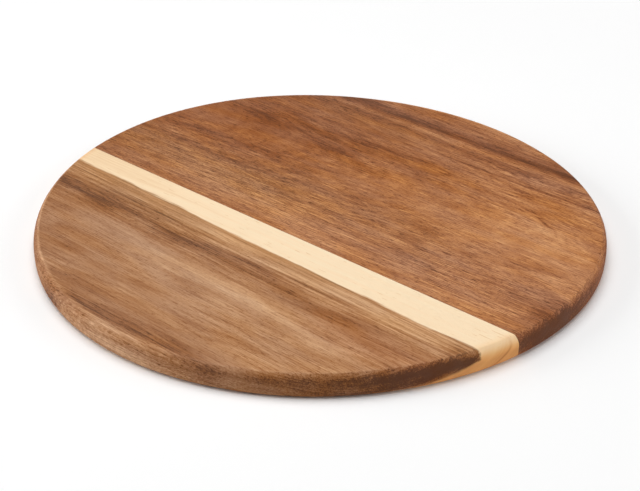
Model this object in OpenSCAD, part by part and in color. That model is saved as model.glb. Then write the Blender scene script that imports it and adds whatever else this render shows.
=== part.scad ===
// Round wooden cheese board, edge-glued from two planks and turned to a rounded rim.
// X runs along the grain, Y across the planks, Z up; the origin is the middle of the underside.

/* [Board] */
// Diameter of the board
board_d = 300; // [200:1:400]
// Thickness of the board
board_t = 12; // [10:0.5:20]
// Radius of the rounding round the top edge
top_round = 6.5; // [6:0.1:8]
// How far down from the top face that rounding reaches; less than its radius leaves an arris on the face
round_depth = 5.5; // [3:0.1:6]
// Radius of the rounding round the bottom edge
bottom_round = 3; // [0.5:0.1:3.5]

/* [Joint] */
// Distance of the glued joint from the middle of the board
joint_offset = 30.5; // [10:0.5:50]
// Thickness of the glue film in the joint
glue_t = 0.1; // [0.05:0.01:0.2]

/* [Sapwood] */
// Width of the pale sapwood on the top face, half-way along the joint
sapwood_w = 18.5; // [10:0.5:25]
// How much the sapwood widens from the left rim to the right rim
sapwood_taper = 8; // [0:0.5:10]
// How much wider the sapwood is on the underside than on the top face
sapwood_spread = 34; // [20:0.5:40]
// How far down from the top face the sapwood's edge stands upright
edge_depth = 4.5; // [3:0.1:6]
// Height of the upright step that ends the sapwood on the underside
foot_h = 0.6; // [0.4:0.1:0.8]
// Radius of the growth ring that the sapwood's edge follows between the two
ring_r = 200; // [120:1:400]

/* [Hidden] */

heartwood_red = [0.66, 0.43, 0.28];
heartwood_tan = [0.70, 0.50, 0.35];
sapwood_cream = [0.96, 0.86, 0.70];
glue_amber = [0.45, 0.29, 0.17];

board_r = board_d / 2;
side_h = board_t - round_depth - bottom_round;
// Cutting blocks are this long, well past the board at both ends
block_l = 2 * board_d;

// The joint stands upright along the grain, and the film is centred on it
wide_edge_y = -joint_offset + glue_t / 2;
narrow_edge_y = -joint_offset - glue_t / 2;

// The growth ring is a circle from the bottom of the upright edge to the top of the step
ring_drop = board_t - edge_depth - foot_h;
chord = norm([sapwood_spread, ring_drop]);
ring_lift = sqrt(ring_r ^ 2 - (chord / 2) ^ 2);
ring_y = sapwood_spread / 2 + ring_lift * ring_drop / chord;
ring_z = foot_h + ring_drop / 2 + ring_lift * sapwood_spread / chord;
taper_angle = atan(sapwood_taper / board_d);

$fn = 128;

// The corner of a round whose middle is the origin, up to a height of no more than its radius
module round_corner(r, h) {
    intersection() {
        circle(r = r);
        square([r, h]);
    }
}

// Half of the turned board's section: a rounded top edge with its arris, an upright side, an eased bottom edge
module rim_section() {
    square([board_r - top_round, board_t]);
    square([board_r - bottom_round, board_t - round_depth]);
    translate([0, bottom_round])
        square([board_r, side_h]);
    translate([board_r - top_round, board_t - round_depth])
        round_corner(top_round, round_depth);
    translate([board_r - bottom_round, bottom_round])
        mirror([0, 1])
            round_corner(bottom_round, bottom_round);
}

// The whole board, as if it were turned from one piece
module turned_disc() {
    rotate_extrude()
        rim_section();
}

// A block right across the board along the grain, from one Y to another
module grain_block(y_from, y_to) {
    translate([-block_l / 2, y_from, -block_l / 2])
        cube([block_l, y_to - y_from, block_l]);
}

// The stretch of the turned board between two Y
module board_slice(y_from, y_to) {
    intersection() {
        turned_disc();
        grain_block(y_from, y_to);
    }
}

// The near plank before its two kinds of wood are told apart
module near_blank() {
    board_slice(-board_d, narrow_edge_y);
}

// The heartwood side of the sapwood's edge: inside the growth ring and past the upright edge, or past the step
module heartwood_zone() {
    translate([0, narrow_edge_y - sapwood_w, 0])
        rotate([0, 0, -taper_angle]) {
            intersection() {
                translate([-block_l / 2, -ring_y, ring_z])
                    rotate([0, 90, 0])
                        cylinder(r = ring_r, h = block_l);
                grain_block(-block_l, 0);
            }
            grain_block(-block_l, -sapwood_spread);
        }
}

module wide_plank() {
    color(heartwood_red)
        board_slice(wide_edge_y, board_d);
}

module glue_line() {
    color(glue_amber)
        board_slice(narrow_edge_y, wide_edge_y);
}

module narrow_plank() {
    color(heartwood_tan)
        intersection() {
            near_blank();
            heartwood_zone();
        }
}

module sapwood_band() {
    color(sapwood_cream)
        difference() {
            near_blank();
            heartwood_zone();
        }
}

wide_plank();
glue_line();
narrow_plank();
sapwood_band();
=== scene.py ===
"""Round wooden cheese board: two edge-glued planks with a turned rim, on a pale studio floor.

Sizes in the tables are millimetres in the board's own frame: X along the grain, Y across the planks, Z up.
"""

import math
from collections import namedtuple

import bmesh
import bpy
from mathutils import Matrix, Vector


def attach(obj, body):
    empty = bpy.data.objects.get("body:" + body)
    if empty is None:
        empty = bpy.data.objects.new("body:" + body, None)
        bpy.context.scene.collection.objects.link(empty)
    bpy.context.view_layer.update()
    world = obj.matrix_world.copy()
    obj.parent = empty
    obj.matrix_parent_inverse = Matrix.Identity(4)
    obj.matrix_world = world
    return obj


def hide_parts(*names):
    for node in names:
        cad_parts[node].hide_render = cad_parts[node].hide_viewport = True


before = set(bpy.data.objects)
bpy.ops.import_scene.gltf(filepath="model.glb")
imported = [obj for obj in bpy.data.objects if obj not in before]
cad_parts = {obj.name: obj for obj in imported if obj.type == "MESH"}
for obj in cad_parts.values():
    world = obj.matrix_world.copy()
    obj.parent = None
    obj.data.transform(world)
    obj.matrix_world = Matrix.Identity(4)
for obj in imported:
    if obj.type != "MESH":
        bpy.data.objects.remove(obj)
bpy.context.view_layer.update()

MM = 0.001
UP = Vector((0, 0, 1))

# The board
BOARD_R = 150.0
BOARD_T = 12.0
TOP_ROUND = 6.5
ROUND_DEPTH = 5.5
BOTTOM_ROUND = 3.0
JOINT_Y = -30.5
GLUE_T = 0.1

# How finely the rim is turned
RIM_STEPS = 720
ARRIS_STEPS = 6
TOP_ROUND_STEPS = 12
SIDE_STEPS = 3
BOTTOM_ROUND_STEPS = 8
# A ring of points this far inside each rounded edge keeps the flat faces flat in shading
FLAT_MARGIN = 0.4
# The rounding meets the top face at an arris, which sanding has taken off to this small radius
ARRIS_R = 1.5
# Edges sharper than this show as edges
SHARP_ANGLE = math.radians(40)

# Turning and sanding leave the rim a little out of round: how many waves go round the board, how deep they
# are and at what angle they start
RIM_WAVES = ((3, 1.33, -0.35), (7, 0.05, 1.9), (16, 0.025, 4.0))

# The edge where the near plank's sapwood meets its heartwood: upright, then a growth ring, then a step
SAPWOOD_W = 18.5
SAPWOOD_TAPER = 8.0 / 300.0
SAPWOOD_SPREAD = 34.0
EDGE_DEPTH = 4.5
FOOT_H = 0.6
RING_R = 200.0

# The camera, from the board's outline in the photograph
IMAGE_W = 640
SENSOR_W = 36.0
FOCAL_PIXELS = 1300.0
CAMERA_AZIMUTH = math.radians(39.90)
CAMERA_ELEVATION = math.radians(29.026)
CAMERA_DISTANCE = 690.43
CAMERA_PAN = math.radians(0.085)
CAMERA_TILT = math.radians(-1.618)
CAMERA_ROLL = math.radians(0.849)


# Shapes


def rim_wave(angle):
    """How far the rim stands out from a true circle at this angle round the board."""
    return sum(depth * math.sin(count * angle + start) for count, depth, start in RIM_WAVES)


def rim_section():
    """Radius and height of the points from the top face round the rim to the underside."""
    side_top = BOARD_T - ROUND_DEPTH
    # The small round of the arris touches the top face and, from inside, the big round
    arris_z = BOARD_T - ARRIS_R
    arris_turn = math.asin((arris_z - side_top) / (TOP_ROUND - ARRIS_R))
    arris_r = BOARD_R - TOP_ROUND + (TOP_ROUND - ARRIS_R) * math.cos(arris_turn)
    points = [(arris_r - FLAT_MARGIN, BOARD_T)]
    for step in range(ARRIS_STEPS):
        turn = math.pi / 2 + (arris_turn - math.pi / 2) * step / ARRIS_STEPS
        points.append((arris_r + ARRIS_R * math.cos(turn), arris_z + ARRIS_R * math.sin(turn)))
    for step in range(TOP_ROUND_STEPS + 1):
        turn = arris_turn * (1 - step / TOP_ROUND_STEPS)
        points.append((
            BOARD_R - TOP_ROUND + TOP_ROUND * math.cos(turn),
            side_top + TOP_ROUND * math.sin(turn),
        ))
    for step in range(1, SIDE_STEPS):
        points.append((BOARD_R, side_top + (BOTTOM_ROUND - side_top) * step / SIDE_STEPS))
    for step in range(BOTTOM_ROUND_STEPS + 1):
        turn = -math.pi / 2 * step / BOTTOM_ROUND_STEPS
        points.append((
            BOARD_R - BOTTOM_ROUND + BOTTOM_ROUND * math.cos(turn),
            BOTTOM_ROUND + BOTTOM_ROUND * math.sin(turn),
        ))
    points.append((BOARD_R - BOTTOM_ROUND - FLAT_MARGIN, 0.0))
    return points


def turned_board():
    """The whole board as one closed bmesh, before it is parted at the joint."""
    mesh = bmesh.new()
    rings = []
    for radius, height in rim_section():
        ring = []
        for step in range(RIM_STEPS):
            angle = 2 * math.pi * step / RIM_STEPS
            reach = (radius + rim_wave(angle)) * MM
            ring.append(mesh.verts.new((reach * math.cos(angle), reach * math.sin(angle), height * MM)))
        rings.append(ring)
    for upper, lower in zip(rings, rings[1:]):
        for step in range(RIM_STEPS):
            after = (step + 1) % RIM_STEPS
            mesh.faces.new((upper[step], lower[step], lower[after], upper[after]))
    mesh.faces.new(rings[0])
    mesh.faces.new(reversed(rings[-1]))
    return mesh


def keep_side(mesh, y, side):
    """Cuts the mesh at this Y, keeps the part on the given side (1 or -1) and closes the cut."""
    everything = mesh.verts[:] + mesh.edges[:] + mesh.faces[:]
    cut = bmesh.ops.bisect_plane(
        mesh, geom=everything, plane_co=(0, y * MM, 0), plane_no=(0, -side, 0), clear_outer=True
    )
    edges = [part for part in cut["geom_cut"] if isinstance(part, bmesh.types.BMEdge)]
    bmesh.ops.edgeloop_fill(mesh, edges=edges)


def board_piece(name, material, low=None, high=None):
    """The stretch of the turned board between two Y, as an object."""
    mesh = turned_board()
    if low is not None:
        keep_side(mesh, low, 1)
    if high is not None:
        keep_side(mesh, high, -1)
    bmesh.ops.recalc_face_normals(mesh, faces=mesh.faces[:])
    data = bpy.data.meshes.new(name)
    mesh.to_mesh(data)
    mesh.free()
    data.shade_smooth()
    data.set_sharp_from_angle(angle=SHARP_ANGLE)
    data.materials.append(material)
    piece = bpy.data.objects.new(name, data)
    bpy.context.scene.collection.objects.link(piece)
    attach(piece, "root")
    return piece


# Materials


def srgb(red, green, blue):
    """A colour given as sRGB values from 0 to 255, as the linear colour that a shader takes."""
    def linear(value):
        share = value / 255
        return share / 12.92 if share <= 0.04045 else ((share + 0.055) / 1.055) ** 2.4
    return (linear(red), linear(green), linear(blue), 1.0)


# The shader's own value for a hue that isn't turned
SAME_HUE = 0.5
# The mix node's sockets for colours: their share, both colours and the result
MIX_SHARE = 0
MIX_FIRST = 6
MIX_SECOND = 7
MIX_RESULT = 2


class Shader:
    """One material's nodes. Each value given to a method is a number, a colour or another node's output."""

    def __init__(self, name):
        self.material = bpy.data.materials.new(name)
        self.material.use_nodes = True
        self.tree = self.material.node_tree
        self.tree.nodes.clear()

    def put(self, socket, value):
        """Links the value to a socket, or sets it there."""
        if isinstance(value, bpy.types.NodeSocket):
            self.tree.links.new(value, socket)
        else:
            socket.default_value = value

    def add(self, kind, inputs=None, **settings):
        """A new node with these inputs and settings."""
        node = self.tree.nodes.new(kind)
        for key, value in settings.items():
            setattr(node, key, value)
        for key, value in (inputs or {}).items():
            self.put(node.inputs[key], value)
        return node

    def math(self, operation, *values, clamp=False):
        node = self.add("ShaderNodeMath", operation=operation, use_clamp=clamp)
        for socket, value in zip(node.inputs, values):
            self.put(socket, value)
        return node.outputs[0]

    def plus(self, first, *others):
        for other in others:
            first = self.math("ADD", first, other)
        return first

    def minus(self, first, second):
        return self.math("SUBTRACT", first, second)

    def times(self, first, second):
        return self.math("MULTIPLY", first, second)

    def more(self, total, value, share, clamp=False):
        """The total with a share of the value added."""
        return self.math("MULTIPLY_ADD", value, share, total, clamp=clamp)

    def join(self, x, y, z):
        return self.add("ShaderNodeCombineXYZ", {"X": x, "Y": y, "Z": z}).outputs[0]

    def noise(self, lengths, places, detail, sharpness=0.5):
        """Noise from about -1 to 1 whose features have these lengths along the three places."""
        scaled = [self.math("DIVIDE", place, length) for place, length in zip(places, lengths)]
        texture = self.add(
            "ShaderNodeTexNoise",
            {"Vector": self.join(*scaled), "Scale": 1.0, "Detail": detail, "Roughness": sharpness},
        )
        return self.math("MULTIPLY_ADD", texture.outputs["Fac"], 2.0, -1.0)

    def span(self, share, start, end):
        """A number that goes from start to end with the share."""
        return self.math("MULTIPLY_ADD", share, end - start, start)

    def ease(self, value, low, high):
        """0 below low, 1 above high and a smooth rise between them."""
        node = self.add("ShaderNodeMapRange", interpolation_type="SMOOTHSTEP")
        for key, number in (("Value", value), ("From Min", low), ("From Max", high)):
            self.put(node.inputs[key], number)
        return node.outputs[0]

    def bell(self, value, middle, width):
        """1 at the middle, falling away on both sides."""
        off = self.math("DIVIDE", self.minus(value, middle), width)
        return self.math("EXPONENT", self.times(self.times(off, off), -1.0))

    def ramp(self, value, stops):
        """Colours along a value, from a list of places and colours."""
        node = self.add("ShaderNodeValToRGB", {"Fac": value})
        elements = node.color_ramp.elements
        while len(elements) < len(stops):
            elements.new(1.0)
        for element, (place, colour) in zip(elements, stops):
            element.position = place
            element.color = colour
        return node.outputs["Color"]

    def blend(self, share, first, second):
        """The first colour with a share of the second mixed in."""
        node = self.add("ShaderNodeMix", data_type="RGBA")
        for socket, value in ((MIX_SHARE, share), (MIX_FIRST, first), (MIX_SECOND, second)):
            self.put(node.inputs[socket], value)
        return node.outputs[MIX_RESULT]

    def tint(self, turn, strength, colour):
        """The colour with its hue turned, as a share of the whole circle, and its strength changed."""
        node = self.add("ShaderNodeHueSaturation", {"Saturation": strength, "Color": colour})
        self.put(node.inputs["Hue"], self.plus(turn, SAME_HUE))
        return node.outputs[0]

    def finish(self, colour, roughness, gloss, height, relief):
        """The material's surface. Relief is the depth of its bump in millimetres at a height of 1."""
        bump = self.add("ShaderNodeBump", {"Distance": relief * MM, "Height": height})
        surface = self.add("ShaderNodeBsdfPrincipled", {
            "Base Color": colour,
            "Roughness": roughness,
            "Specular IOR Level": gloss,
            "Normal": bump.outputs[0],
        })
        output = self.add("ShaderNodeOutputMaterial")
        self.tree.links.new(surface.outputs[0], output.inputs["Surface"])
        return self.material


# A soft mark in the figure: its middle, half its length along the grain and half its width across,
# how much darker it is, and how far it climbs across the grain for each millimetre along it
Mark = namedtuple("Mark", "x y length width tone climb", defaults=(0.0,))
# Marks hold their strength along the grain and then fade with this power of the distance
MARK_POWER = 4.0

# Grain: its length along the plank, its width across it, its tone and how much detail it has
Grain = namedtuple("Grain", "length width tone detail")

# How a line wavers: the length and width of its waves, how far they reach and how much detail they have
Waver = namedtuple("Waver", "length width reach detail")

# Pores: their length along the plank, their width, their detail, the noise at which a pore starts and at
# which it is full, and their tone
Pores = namedtuple("Pores", "length width detail low high tone")

# Richer and duller patches: their length, width and detail, and how strong the colour is in each
Patches = namedtuple("Patches", "length width detail rich dull")

# A plank's figure: where the pith lay and how it climbs along the plank, how the marks lean with depth,
# its colours from light to dark, its general tone towards both ends of the grain, how much darker the rim
# is where it cuts across the grain at those ends, which is end grain with painted light and shade in being
# lighter at the left and darker at the right, how soon that starts on the rounding, how long its fine
# grain runs, how strongly its fibres and its pores show, its marks, and soft marks whose tone is instead
# a turn of the hue towards yellow, a change in the strength of the colour or in that of the fine grain, or
# the strength of curly grain
Figure = namedtuple(
    "Figure",
    "pith_y pith_z pith_climb lean colours left_tone right_tone left_end right_end end_power"
    " grain_run fibre_share pore_share marks hues strengths stirs curls",
)

# Growth rings wander from true circles round the pith
WANDERS = (
    Waver(170.0, 34.0, 3.0, 2.0),
    Waver(45.0, 9.0, 0.7, 2.0),
)
# Broad, middle and fine grain that follows the rings, and its length round them
GRAINS = (
    Grain(170.0, 5.0, 0.16, 2.0),
    Grain(60.0, 1.6, 0.20, 3.0),
    Grain(12.0, 0.5, 0.34, 2.0),
)
GRAIN_ROUND = 40.0
FIBRES = Grain(20.0, 0.6, 0.42, 3.0)
PORES = (
    Pores(5.0, 0.45, 1.0, 0.18, 0.36, 0.38),
    Pores(2.2, 0.40, 1.0, 0.16, 0.34, 0.32),
)
# Mottling, which also breaks up the marks by this share
MOTTLE = Grain(32.0, 7.0, 0.20, 3.0)
MARK_BREAKUP = 0.5
CURLS = Grain(4.5, 2.2, 0.55, 2.0)
PATCHES = Patches(40.0, 10.0, 3.0, 1.04, 0.96)
# The noise between which a patch goes from rich to dull
PATCH_EDGES = (-0.4, 0.4)
# A surface is all rim where the upright part of its normal is below the first value, and none of it is
# above the second
RIM_FACING = (0.6, 0.95)
# A painted highlight: a lighter line along the left of the arris, where the light from the left catches it.
# It broadens inwards along the grain and then fades: how far it lies inside the rim and half its width, at
# both ends of that stretch, its tone, the heights between which it sets in, and where it fades out
ARRIS_HIGHLIGHT_STRETCH = (-110.0, 0.0)
ARRIS_HIGHLIGHT_INSET = (2.5, 3.7)
ARRIS_HIGHLIGHT_W = (0.6, 1.2)
ARRIS_HIGHLIGHT_TONE = -0.24
ARRIS_HIGHLIGHT_Z = (BOARD_T - 2.0, BOARD_T - 0.5)
ARRIS_HIGHLIGHT_FADE = (10.0, 60.0)
# The rim's cut fibres show as specks: their sizes along the three axes, their detail, their tone at the left
# and at the right, and where it changes
SPECK_SIZE = (1.8, 1.8, 2.4)
SPECK_DETAIL = 2.0
SPECK_TONE = (0.38, 0.13)
SPECK_FADE = (-25.0, 50.0)
# A darker line runs round the right of the rim: its height, half its width, its tone and where it sets in
DARK_LINE_Z = 9.0
DARK_LINE_W = 2.0
DARK_LINE_TONE = 0.16
DARK_LINE_START = (-60.0, 60.0)
# The oil shines softly on the faces, has sunk into the rim and leaves the pores dull
WOOD_GLOSS = 0.3
FACE_ROUGHNESS = 0.5
RIM_ROUGHNESS = 0.75
GRAIN_ROUGHNESS = 0.12
PORE_ROUGHNESS = 0.2
# The surface's relief, and what the fine grain adds to it and the pores take from it
WOOD_RELIEF = 0.05
GRAIN_HEIGHT = 0.4
PORE_DEPTH = 1.0

WIDE_FIGURE = Figure(
    pith_y=45.0,
    pith_z=-80.0,
    pith_climb=-0.05,
    lean=-0.8,
    colours=(
        (0.0, srgb(220, 159, 104)),
        (0.25, srgb(194, 131, 82)),
        (0.5, srgb(167, 106, 64)),
        (0.75, srgb(143, 82, 43)),
        (1.0, srgb(102, 57, 28)),
    ),
    left_tone=0.56,
    right_tone=0.31,
    left_end=0.20,
    right_end=0.58,
    end_power=4.0,
    grain_run=1.0,
    fibre_share=1.5,
    pore_share=1.05,
    marks=(
        Mark(-1, 122, 190, 4.6, 0.35, -0.01),
        Mark(-1, 128.5, 190, 3.5, 0.10),
        Mark(78, 118.5, 30, 4.5, 0.15),
        Mark(34, 122, 40, 4.5, 0.12),
        Mark(-91, 101, 40, 14.0, 0.08),
        Mark(-1, 114.6, 190, 2.5, -0.12, -0.02),
        Mark(-11, 109, 150, 3.0, 0.14, -0.01),
        Mark(74, 95.5, 62, 0.8, 0.42),
        Mark(-78, 66, 50, 13.0, 0.18),
        Mark(-101, 69, 30, 5.0, 0.05),
        Mark(-5, 80.5, 30, 2.2, 0.17, 0.08),
        Mark(-36, 75, 12, 3.0, 0.12),
        Mark(-101, 30, 45, 2.5, 0.14),
        Mark(-76, 33, 22, 1.2, 0.15),
        Mark(-46, 14, 32, 11.0, 0.12),
        Mark(-111, 10.5, 50, 1.6, 0.16),
        Mark(-121, -1, 30, 1.6, 0.14),
        Mark(56, 9, 9, 6.0, 0.12),
        Mark(59, 3, 14, 1.2, 0.16),
        Mark(104, 43, 50, 22.0, -0.10),
        Mark(-39, -17, 60, 12.0, -0.26),
        Mark(-111, -21, 30, 8.0, -0.09),
        Mark(134, -2, 22, 9.0, 0.12),
        Mark(149, -7, 12, 16.0, 0.22),
        Mark(149, -24, 9, 9.0, 0.13),
        Mark(99, 58, 14, 6.0, -0.10),
        Mark(97, 67, 4, 0.8, 0.36, -0.5),
        Mark(102, 64.5, 4, 0.7, 0.36, -0.2),
        Mark(35, 108, 40, 5.0, 0.08),
        Mark(-35, 96, 35, 6.0, 0.08),
        Mark(-35, 60, 35, 6.0, 0.07),
        Mark(-105, 36, 35, 6.0, -0.07),
        Mark(35, 60, 40, 6.0, -0.07),
        Mark(-105, 84, 30, 6.0, 0.06),
        Mark(-60, 86, 40, 8.0, 0.07),
        Mark(0, 90, 35, 7.0, 0.09),
        Mark(0, 74, 25, 6.0, 0.06),
        Mark(90, 111, 28, 10.0, 0.10),
    ),
    hues=(
        Mark(-95, -4, 85, 20.0, 0.0050),
        Mark(10, 10, 70, 26.0, 0.0020),
        Mark(-45, 105, 50, 14.0, 0.0020),
    ),
    strengths=(
        Mark(-60, -8, 110, 20.0, -0.03),
        Mark(90, -4, 60, 20.0, -0.05),
        Mark(-85, 122, 45, 16.0, -0.06),
        Mark(90, 108, 30, 12.0, -0.05),
        Mark(-40, 52, 70, 18.0, 0.03),
        Mark(50, 80, 70, 12.0, 0.04),
        Mark(15, 98, 28, 13.0, -0.05),
        Mark(-88, 91, 18, 6.0, -0.04),
        Mark(-20, 128, 60, 6.0, -0.04),
    ),
    stirs=(
        Mark(-112, 53, 62, 15.0, -0.40),
        Mark(110, 42, 42, 16.0, -0.35),
        Mark(20, 40, 40, 10.0, -0.15),
        Mark(-45, 0, 75, 14.0, 0.25),
        Mark(110, -10, 40, 10.0, 0.20),
        Mark(-25, 95, 40, 6.0, -0.30),
    ),
    curls=(
        Mark(72, 104, 42, 5.0, 1.0),
    ),
)

NARROW_FIGURE = Figure(
    pith_y=-102.0,
    pith_z=86.0,
    pith_climb=0.0,
    lean=-0.3,
    colours=(
        (0.0, srgb(218, 173, 132)),
        (0.25, srgb(194, 146, 106)),
        (0.5, srgb(171, 120, 80)),
        (0.75, srgb(147, 93, 53)),
        (1.0, srgb(100, 61, 36)),
    ),
    left_tone=0.52,
    right_tone=0.33,
    left_end=0.05,
    right_end=0.88,
    end_power=2.0,
    grain_run=2.2,
    fibre_share=1.1,
    pore_share=0.65,
    marks=(
        Mark(-26, -70.5, 170, 6.3, 0.20, -0.03),
        Mark(-106, -71.5, 30, 3.0, 0.08),
        Mark(-20, -87.5, 75, 9.0, -0.15),
        Mark(36, -90, 42, 5.0, -0.12),
        Mark(-80, -60.5, 46, 1.2, 0.26),
        Mark(-60, -63.5, 50, 1.2, -0.18),
        Mark(35, -62, 45, 3.0, 0.14),
        Mark(19, -59, 150, 6.0, -0.12),
        Mark(-1, -60, 160, 0.8, 0.14, -0.03),
        Mark(-61, -63, 80, 0.7, 0.16, -0.02),
        Mark(19, -55, 120, 0.6, 0.14, -0.02),
        Mark(-71, -57, 60, 0.7, 0.14, -0.01),
        Mark(-3, -141.5, 62, 5.0, 0.30),
        Mark(134, -60, 7, 7.0, 0.30),
        Mark(100, -58, 40, 4.0, 0.05),
        Mark(30, -58, 40, 4.0, -0.06),
        Mark(-1, -153, 50, 4.0, -0.20),
        Mark(-21, -130, 45, 2.5, 0.10),
        Mark(-101, -118, 36, 8.0, 0.13),
        Mark(-108, -96, 32, 6.0, 0.06),
        Mark(42, -138.5, 18, 3.5, 0.12),
        Mark(45, -145.5, 14, 3.0, -0.12),
    ),
    hues=(
        Mark(-70, -62, 60, 10.0, 0.0020),
        Mark(110, -80, 45, 12.0, -0.0040),
    ),
    strengths=(
        Mark(-20, -90, 60, 8.0, -0.04),
        Mark(70, -100, 50, 40.0, 0.03),
        Mark(105, -70, 45, 14.0, 0.05),
    ),
    stirs=(
        Mark(-30, -116, 45, 10.0, -0.40),
        Mark(20, -133, 75, 7.0, -0.35),
        Mark(-35, -88, 75, 8.0, -0.25),
        Mark(-60, -71, 60, 6.0, 0.20),
    ),
    curls=(),
)

# The sapwood's colours from light to dark, on its faces and on the end of its grain
SAPWOOD_COLOURS = (
    (0.0, srgb(255, 233, 198)),
    (0.5, srgb(255, 226, 187)),
    (1.0, srgb(240, 203, 156)),
)
SAPWOOD_ENDS = (
    (0.0, srgb(255, 206, 142)),
    (0.5, srgb(240, 174, 104)),
    (1.0, srgb(202, 128, 70)),
)
# The end colour starts this far inside the rim with this share, and is full at this depth below the top face
SAPWOOD_END_INSET = (7.0, 2.0)
SAPWOOD_END_START = 0.42
SAPWOOD_END_DEPTH = 4.0
# Its tone just below the top face and further down, and the depths between which that changes: painted light
# high on the rounding and painted shade below it
SAPWOOD_END_LIGHT_AND_SHADE = (-0.25, 0.35)
SAPWOOD_END_SHADE = (1.0, 7.0)
# One growth ring shows on that end: how far from the joint it starts at the top, how it bends away with
# depth, half its width and its tone
END_RING_GAP = 3.7
END_RING_BEND = 0.1
END_RING_W = 0.9
END_RING_TONE = 0.38
# The sapwood's tone at both ends of a stretch along the grain
SAPWOOD_STRETCH = (-150.0, 0.0)
SAPWOOD_TONE = (0.75, 0.35)
# How strongly the middle and the fine grain show on its faces, and the broad and the middle grain on its end
FACE_MIDDLE = 0.4
FACE_FINE = 0.3
END_BROAD = 0.3
END_MIDDLE = 0.15
SAPWOOD_DASHES = Pores(8.0, 0.9, 1.0, 0.38, 0.54, 1.0)
# The sapwood's edge runs in waves, sharper ones than the other noise, and has small nicks
EDGE_WAVE = Waver(60.0, 20.0, 2.6, 4.0)
EDGE_SHARPNESS = 0.6
EDGE_NICK = Waver(24.0, 2.2, 1.8, 2.0)
# Stretches where the sapwood is wider or narrower than its taper: middle, half their length and how much
EDGE_STRAYS = ((40.0, 40.0, 0.9), (-94.0, 10.0, -0.8), (130.0, 14.0, -0.8))
# Half the width over which the sapwood turns into heartwood, down to the first of these depths and from the
# second
EDGE_SOFT = (0.7, 4.0)
EDGE_SOFT_DEPTHS = (3.0, 7.5)
# Along the sapwood the heartwood is yellower, this far into the plank, and less so towards the right
YELLOW_W = 16.0
YELLOW_COLOUR = srgb(210, 158, 102)
YELLOW_SHARE = (0.4, 0.2)
YELLOW_FADE = (20.0, 120.0)
# On the rim that stretch is lighter than the rest of the end grain
TIP_TONE = -0.44
# Lines run through that stretch and past it
LINES_W = 30.0
LINES = Grain(60.0, 1.7, 1.1, 3.0)

# The glue film: how fine its unevenness is, its colours, and its surface
GLUE_FINENESS = 900.0
GLUE_DETAIL = 2.0
GLUE_COLOURS = ((0.3, srgb(104, 66, 40)), (0.7, srgb(140, 94, 58)))
GLUE_ROUGHNESS = 0.5
GLUE_GLOSS = 0.3
GLUE_RELIEF = 0.02


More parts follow.
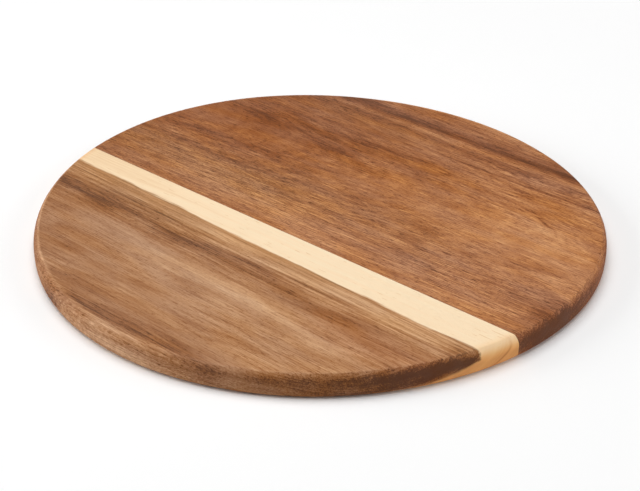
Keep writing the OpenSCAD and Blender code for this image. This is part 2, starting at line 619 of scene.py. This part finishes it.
class Wood(Shader):
    """Solid wood: the same figure runs through the faces, the rim and the end grain of a plank."""

    def __init__(self, name, figure):
        super().__init__(name)
        self.figure = figure
        in_mm = self.add("ShaderNodeVectorMath", operation="SCALE")
        self.put(in_mm.inputs[0], self.add("ShaderNodeTexCoord").outputs["Object"])
        in_mm.inputs["Scale"].default_value = 1 / MM
        self.place = tuple(self.add("ShaderNodeSeparateXYZ", {0: in_mm.outputs[0]}).outputs)
        self.x, self.y, self.z = self.place
        self.depth = self.minus(BOARD_T, self.z)
        self.inset = self.rim_inset()
        self.lengthwise = self.ease(self.x, -BOARD_R, BOARD_R)
        normal = self.add("ShaderNodeNewGeometry").outputs["Normal"]
        facing_x, _, facing_z = self.add("ShaderNodeSeparateXYZ", {0: normal}).outputs
        self.end_grain = self.math("POWER", self.math("ABSOLUTE", facing_x), figure.end_power)
        self.off_rim = self.ease(self.math("ABSOLUTE", facing_z), *RIM_FACING)
        self.on_rim = self.minus(1.0, self.off_rim)
        self.wander = self.plus(*[self.times(self.field(waver), waver.reach) for waver in WANDERS])
        self.strayed_y = self.plus(self.y, self.wander)
        self.leaning_y = self.more(self.strayed_y, self.depth, figure.lean)
        self.run = self.math("DIVIDE", self.x, figure.grain_run)
        ring_place = (self.run, self.ring(), self.y)
        self.broad_grain, self.middle_grain, self.fine_grain = [
            self.noise((grain.length, grain.width, GRAIN_ROUND), ring_place, grain.detail) for grain in GRAINS
        ]
        self.pores = [self.pore(pores) for pores in PORES]

    def field(self, size, sharpness=0.5):
        """Noise right through the plank, of this length, width and detail."""
        return self.noise((size.length, size.width, size.width), self.place, size.detail, sharpness)

    def pore(self, pores):
        """1 in a pore and 0 between the pores."""
        return self.ease(self.field(pores), pores.low, pores.high)

    def rim_inset(self):
        """How far a point lies inside the outermost rim."""
        turn = self.math("ARCTAN2", self.y, self.x)
        rim = BOARD_R
        for count, depth, start in RIM_WAVES:
            rim = self.more(rim, self.math("SINE", self.more(start, turn, count)), depth)
        reach = self.math("SQRT", self.plus(self.times(self.x, self.x), self.times(self.y, self.y)))
        return self.minus(rim, reach)

    def ring(self):
        """How far a point's growth ring lies from the pith."""
        across = self.minus(self.y, self.figure.pith_y)
        above = self.minus(self.z, self.more(self.figure.pith_z, self.x, self.figure.pith_climb))
        radius = self.math("SQRT", self.plus(self.times(across, across), self.times(above, above)))
        return self.plus(radius, self.wander)

    def soft_marks(self, marks):
        """What a list of marks adds together."""
        total = 0.0
        for mark in marks:
            along = self.minus(self.x, mark.x)
            middle = self.more(mark.y, along, mark.climb)
            off = self.math("DIVIDE", self.minus(self.leaning_y, middle), mark.width)
            far = self.math("ABSOLUTE", self.math("DIVIDE", along, mark.length))
            fall = self.more(self.math("POWER", far, MARK_POWER), off, off)
            total = self.more(total, self.math("EXPONENT", self.times(fall, -1.0)), mark.tone)
        return total

    def fine_tone(self):
        """The tone of grain, fibres and pores together."""
        tone = 0.0
        for grain, noise in zip(GRAINS, (self.broad_grain, self.middle_grain, self.fine_grain)):
            tone = self.more(tone, noise, grain.tone)
        fibre_size = (FIBRES.length, FIBRES.width, FIBRES.width)
        fibres = self.noise(fibre_size, (self.run, self.strayed_y, self.z), FIBRES.detail)
        tone = self.more(tone, fibres, FIBRES.tone * self.figure.fibre_share)
        for pores, pore in zip(PORES, self.pores):
            tone = self.more(tone, pore, pores.tone * self.figure.pore_share)
        return tone

    def plank_tone(self):
        """The figure's tone, from light to dark, before anything is done to the rim."""
        mottle = self.field(MOTTLE)
        tone = self.span(self.lengthwise, self.figure.left_tone, self.figure.right_tone)
        tone = self.more(tone, self.soft_marks(self.figure.marks), self.more(1.0, mottle, MARK_BREAKUP))
        tone = self.more(tone, mottle, MOTTLE.tone)
        if self.figure.curls:
            curl = self.times(self.field(CURLS), self.soft_marks(self.figure.curls))
            tone = self.more(tone, curl, CURLS.tone)
        stir = self.plus(self.soft_marks(self.figure.stirs), 1.0)
        return self.more(tone, self.fine_tone(), stir)

    def rim_tone(self, tone):
        """The tone with the rim's specks, a darker line round its right, a painted highlight on the arris and
        its end grain.
        """
        # A darker line round the right of the rim
        dark_line = self.times(self.bell(self.z, DARK_LINE_Z, DARK_LINE_W), self.ease(self.x, *DARK_LINE_START))
        tone = self.more(tone, dark_line, DARK_LINE_TONE)
        # Painted highlight: a lighter line along the left of the arris, where the light from the left catches
        # it
        broader = self.ease(self.x, *ARRIS_HIGHLIGHT_STRETCH)
        arris_highlight = self.bell(self.inset, self.span(broader, *ARRIS_HIGHLIGHT_INSET), self.span(broader, *ARRIS_HIGHLIGHT_W))
        arris_highlight = self.times(arris_highlight, self.ease(self.z, *ARRIS_HIGHLIGHT_Z))
        arris_highlight = self.times(arris_highlight, self.minus(1.0, self.ease(self.x, *ARRIS_HIGHLIGHT_FADE)))
        tone = self.more(tone, arris_highlight, ARRIS_HIGHLIGHT_TONE)
        specks = self.times(self.noise(SPECK_SIZE, self.place, SPECK_DETAIL), self.on_rim)
        tone = self.more(tone, specks, self.span(self.ease(self.x, *SPECK_FADE), *SPECK_TONE))
        # The end grain is darker at both ends; that it is lighter at the left and darker at the right is
        # painted light and shade
        end_tone = self.span(self.lengthwise, self.figure.left_end, self.figure.right_end)
        return self.more(tone, self.end_grain, end_tone)

    def heartwood(self, tone):
        """The heartwood's colour at this tone, with patches of other hue and strength."""
        patches = self.ease(self.field(PATCHES), *PATCH_EDGES)
        strength = self.span(patches, PATCHES.rich, PATCHES.dull)
        strength = self.plus(strength, self.soft_marks(self.figure.strengths))
        turn = self.soft_marks(self.figure.hues)
        return self.tint(turn, strength, self.ramp(tone, self.figure.colours))

    def ring_reach(self):
        """How much wider the sapwood is at this height than on the top face."""
        drop = BOARD_T - EDGE_DEPTH - FOOT_H
        chord = math.hypot(SAPWOOD_SPREAD, drop)
        lift = math.sqrt(RING_R ** 2 - (chord / 2) ** 2)
        ring_y = SAPWOOD_SPREAD / 2 + lift * drop / chord
        ring_z = FOOT_H + drop / 2 + lift * SAPWOOD_SPREAD / chord
        below = self.minus(ring_z, self.z)
        along = self.math("SQRT", self.more(RING_R ** 2, below, self.times(below, -1.0)))
        reach = self.math("MAXIMUM", self.minus(ring_y, along), 0.0)
        return self.math("MINIMUM", reach, SAPWOOD_SPREAD)

    def inside_sapwood(self, slanted_y):
        """How far inside the sapwood a point lies across the grain."""
        wave = self.times(self.field(EDGE_WAVE, EDGE_SHARPNESS), EDGE_WAVE.reach)
        nick = self.times(self.field(EDGE_NICK), EDGE_NICK.reach)
        edge = self.plus(JOINT_Y - SAPWOOD_W, wave, nick)
        inside = self.plus(self.minus(slanted_y, edge), self.ring_reach())
        for middle, length, wider in EDGE_STRAYS:
            inside = self.more(inside, self.bell(self.x, middle, length), wider)
        return inside

    def sapwood(self):
        """The sapwood's colour, which deepens on the end of its grain."""
        base = self.span(self.ease(self.x, *SAPWOOD_STRETCH), *SAPWOOD_TONE)
        tone = self.more(base, self.middle_grain, FACE_MIDDLE)
        tone = self.more(tone, self.fine_grain, FACE_FINE)
        tone = self.more(tone, self.pore(SAPWOOD_DASHES), SAPWOOD_DASHES.tone, clamp=True)
        # Painted light and shade: the sapwood's end is lighter just below the top face and darker further
        # down
        shade = self.span(self.ease(self.depth, *SAPWOOD_END_SHADE), *SAPWOOD_END_LIGHT_AND_SHADE)
        end_tone = self.more(self.plus(base, shade), self.broad_grain, END_BROAD)
        end_tone = self.more(end_tone, self.middle_grain, END_MIDDLE)
        ring_gap = self.more(END_RING_GAP, self.times(self.depth, self.depth), END_RING_BEND)
        ring = self.bell(self.minus(JOINT_Y, self.y), ring_gap, END_RING_W)
        end_tone = self.more(end_tone, ring, END_RING_TONE, clamp=True)
        near_end = self.times(self.ease(self.inset, *SAPWOOD_END_INSET), SAPWOOD_END_START)
        down_end = self.times(self.ease(self.depth, 0.0, SAPWOOD_END_DEPTH), self.on_rim)
        end_share = self.more(near_end, down_end, 1.0 - SAPWOOD_END_START)
        face = self.ramp(tone, SAPWOOD_COLOURS)
        return self.blend(end_share, face, self.ramp(end_tone, SAPWOOD_ENDS))

    def oiled(self, colour):
        """The finished material in this colour."""
        pores = self.plus(*self.pores)
        roughness = self.span(self.on_rim, FACE_ROUGHNESS, RIM_ROUGHNESS)
        roughness = self.more(roughness, self.middle_grain, GRAIN_ROUGHNESS)
        roughness = self.more(roughness, pores, PORE_ROUGHNESS)
        height = self.more(self.times(self.fine_grain, GRAIN_HEIGHT), pores, -PORE_DEPTH)
        return self.finish(colour, roughness, WOOD_GLOSS, height, WOOD_RELIEF)


def heartwood_plank(name, figure):
    """Oiled wood that is heartwood right through."""
    wood = Wood(name, figure)
    return wood.oiled(wood.heartwood(wood.rim_tone(wood.plank_tone())))


def sapwood_plank(name, figure):
    """Oiled heartwood with a band of sapwood along the joint."""
    wood = Wood(name, figure)
    slanted_y = wood.more(wood.y, wood.x, SAPWOOD_TAPER)
    inside = wood.inside_sapwood(slanted_y)
    near = wood.ease(inside, -YELLOW_W, 0.0)
    tone = wood.rim_tone(wood.plank_tone())
    tone = wood.more(tone, wood.times(near, wood.on_rim), TIP_TONE)
    line_size = (LINES.length, LINES.width, LINES.width)
    lines = wood.noise(line_size, (wood.x, slanted_y, wood.z), LINES.detail)
    lines = wood.times(lines, wood.times(wood.ease(inside, -LINES_W, 0.0), wood.off_rim))
    tone = wood.more(tone, lines, LINES.tone, clamp=True)
    yellow = wood.span(wood.ease(wood.x, *YELLOW_FADE), *YELLOW_SHARE)
    yellow = wood.times(wood.times(near, yellow), wood.off_rim)
    colour = wood.blend(yellow, wood.heartwood(tone), YELLOW_COLOUR)
    softness = wood.span(wood.ease(wood.depth, *EDGE_SOFT_DEPTHS), *EDGE_SOFT)
    pale = wood.ease(wood.math("DIVIDE", inside, softness), -1.0, 1.0)
    return wood.oiled(wood.blend(pale, colour, wood.sapwood()))


def glue(name):
    """Set wood glue, as a thin dark film with a little unevenness."""
    shader = Shader(name)
    place = shader.add("ShaderNodeTexCoord").outputs["Object"]
    noise = shader.add(
        "ShaderNodeTexNoise", {"Vector": place, "Scale": GLUE_FINENESS, "Detail": GLUE_DETAIL}
    )
    amount = noise.outputs["Fac"]
    colour = shader.ramp(amount, GLUE_COLOURS)
    return shader.finish(colour, GLUE_ROUGHNESS, GLUE_GLOSS, amount, GLUE_RELIEF)


# The pieces

half_film = GLUE_T / 2
red_wood = heartwood_plank("oiled_red_heartwood", WIDE_FIGURE)
wide = board_piece("wide_plank_wood", red_wood, low=JOINT_Y + half_film)
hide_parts("wide_plank")

tan_wood = sapwood_plank("oiled_tan_heartwood", NARROW_FIGURE)
narrow = board_piece("narrow_plank_wood", tan_wood, high=JOINT_Y - half_film)
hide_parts("narrow_plank", "sapwood_band")

set_glue = glue("set_wood_glue")
seam = board_piece("glue_seam", set_glue, low=JOINT_Y - half_film, high=JOINT_Y + half_film)
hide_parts("glue_line")


# The studio, with its sizes in metres

FLOOR_SIZE = 30.0
WHITE = (1.0, 1.0, 1.0, 1.0)
# The strength at which a surround shows plain white to the camera
PLAIN_WHITE = 1.0
# The floor's colour in the light that it throws back on the board
FLOOR_BOUNCE = (0.9, 0.9, 0.9, 1.0)
# Away from the board the floor shows plain white to the camera, from the first distance to the second
FLOOR_FADE = (0.22, 0.6)
# The surround's light on the board
WORLD_LIGHT = 0.1

# A soft light: its power, its size, its distance, and its direction as left of, behind and above the board
Lamp = namedtuple("Lamp", "name power size distance left back up")
LAMPS = (
    Lamp("overhead_softbox", 26.5, 1.6, 1.8, 0.1, 0.1, 1.0),
    Lamp("left_softbox", 20.0, 1.2, 1.8, 0.96, 0.0, 0.28),
    Lamp("right_softbox", 12.0, 1.2, 1.8, -0.92, -0.16, 0.34),
)


def camera_axes():
    """The camera's right, up and forward directions in the board's frame."""
    right = Vector((math.cos(CAMERA_AZIMUTH), math.sin(CAMERA_AZIMUTH), 0))
    away = Vector((-math.sin(CAMERA_AZIMUTH), math.cos(CAMERA_AZIMUTH), 0))
    forward = away * math.cos(CAMERA_ELEVATION) - UP * math.sin(CAMERA_ELEVATION)
    up = away * math.sin(CAMERA_ELEVATION) + UP * math.cos(CAMERA_ELEVATION)
    return right, up, forward


def turned(first, second, angle):
    """Two directions at right angles, turned together in their plane."""
    cosine, sine = math.cos(angle), math.sin(angle)
    return first * cosine + second * sine, second * cosine - first * sine


def add_camera():
    """The camera at the photograph's viewing angle."""
    right, up, forward = camera_axes()
    place = UP * BOARD_T * MM - forward * CAMERA_DISTANCE * MM
    forward, right = turned(forward, right, CAMERA_PAN)
    forward, up = turned(forward, up, CAMERA_TILT)
    right, up = turned(right, up, CAMERA_ROLL)
    data = bpy.data.cameras.new("camera")
    data.sensor_width = SENSOR_W
    data.lens = FOCAL_PIXELS * SENSOR_W / IMAGE_W
    camera = bpy.data.objects.new("camera", data)
    axes = Matrix((right, up, -forward)).transposed()
    camera.matrix_world = Matrix.Translation(place) @ axes.to_4x4()
    bpy.context.scene.collection.objects.link(camera)
    bpy.context.scene.camera = camera


def add_floor():
    """A pale floor that keeps the board's shadow and turns plain white to the camera further out."""
    shader = Shader("studio_floor")
    path = shader.add("ShaderNodeLightPath")
    seen = shader.math("MAXIMUM", path.outputs["Is Camera Ray"], path.outputs["Is Glossy Ray"])
    seen = shader.math("MAXIMUM", seen, path.outputs["Is Transmission Ray"])
    white = shader.add("ShaderNodeBsdfDiffuse", {"Color": WHITE})
    bounce = shader.add("ShaderNodeBsdfDiffuse", {"Color": FLOOR_BOUNCE})
    mixed = shader.add("ShaderNodeMixShader", {0: seen, 1: bounce.outputs[0], 2: white.outputs[0]})
    place = shader.add("ShaderNodeTexCoord").outputs["Object"]
    reach = shader.add("ShaderNodeVectorMath", {0: place}, operation="LENGTH").outputs["Value"]
    far = shader.times(shader.ease(reach, *FLOOR_FADE), path.outputs["Is Camera Ray"])
    plain = shader.add("ShaderNodeEmission", {"Color": WHITE, "Strength": PLAIN_WHITE})
    mixed = shader.add("ShaderNodeMixShader", {0: far, 1: mixed.outputs[0], 2: plain.outputs[0]})
    output = shader.add("ShaderNodeOutputMaterial")
    shader.tree.links.new(mixed.outputs[0], output.inputs["Surface"])
    mesh = bmesh.new()
    bmesh.ops.create_grid(mesh, x_segments=1, y_segments=1, size=FLOOR_SIZE / 2)
    data = bpy.data.meshes.new("studio_floor")
    mesh.to_mesh(data)
    mesh.free()
    data.materials.append(shader.material)
    floor = bpy.data.objects.new("studio_floor", data)
    bpy.context.scene.collection.objects.link(floor)


def add_lights():
    """Soft lights over the board and on both sides of it."""
    right, _, forward = camera_axes()
    away = Vector((forward.x, forward.y, 0)).normalized()
    for lamp in LAMPS:
        towards = (away * lamp.back - right * lamp.left + UP * lamp.up).normalized()
        data = bpy.data.lights.new(lamp.name, "AREA")
        data.size = lamp.size
        data.energy = lamp.power
        light = bpy.data.objects.new(lamp.name, data)
        light.location = towards * lamp.distance
        light.rotation_euler = towards.to_track_quat("Z", "Y").to_euler()
        bpy.context.scene.collection.objects.link(light)


def add_surround():
    """An even pale surround, which shows plain white to the camera."""
    world = bpy.data.worlds.new("studio")
    world.use_nodes = True
    tree = world.node_tree
    background = tree.nodes["Background"]
    background.inputs["Color"].default_value = WHITE
    strength = tree.nodes.new("ShaderNodeMapRange")
    strength.inputs["To Min"].default_value = WORLD_LIGHT
    strength.inputs["To Max"].default_value = PLAIN_WHITE
    path = tree.nodes.new("ShaderNodeLightPath")
    tree.links.new(path.outputs["Is Camera Ray"], strength.inputs["Value"])
    tree.links.new(strength.outputs[0], background.inputs["Strength"])
    bpy.context.scene.world = world


add_camera()
add_floor()
add_lights()
add_surround()
bpy.context.scene.view_settings.view_transform = "Standard"
